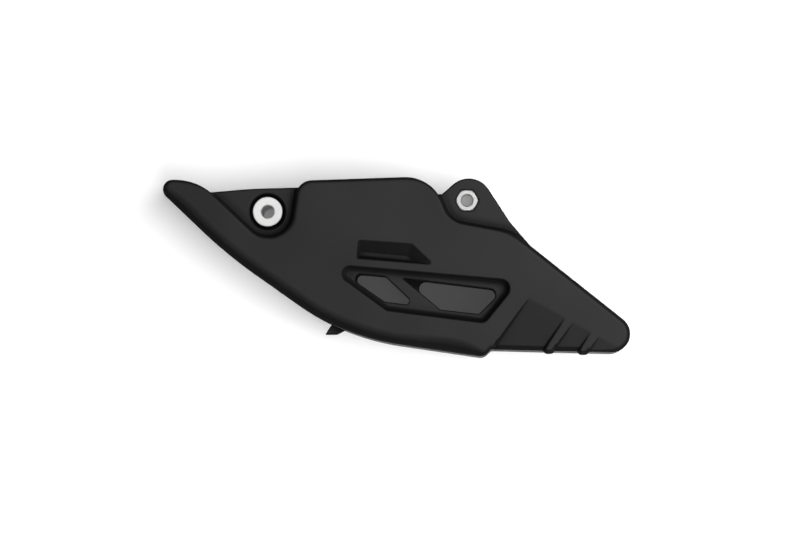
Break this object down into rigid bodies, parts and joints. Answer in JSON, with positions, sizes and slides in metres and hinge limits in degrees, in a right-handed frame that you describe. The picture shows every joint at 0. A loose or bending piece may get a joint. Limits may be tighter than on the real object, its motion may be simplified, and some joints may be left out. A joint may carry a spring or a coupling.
{
  "type": "chain guide",
  "caption": "Moulded black plastic motorcycle chain guide with a chain channel, side windows, a flanged front sleeve and a rear insert nut.",
  "frame": {"origin": "front bolt axis at the inner face, which lies on the ground", "axes": "+X rearward along the chain, +Y up as mounted, +Z out of the near face along the bolts"},
  "size_m": [0.2319, 0.089, 0.04],
  "materials": {
    "moulding": "satin",
    "sleeve": "satin",
    "nut": "satin"
  },
  "bodies": {
    "root": {"guide_body": "moulding", "front_sleeve": "sleeve", "rear_nut": "nut"}
  },
  "joints": []
}
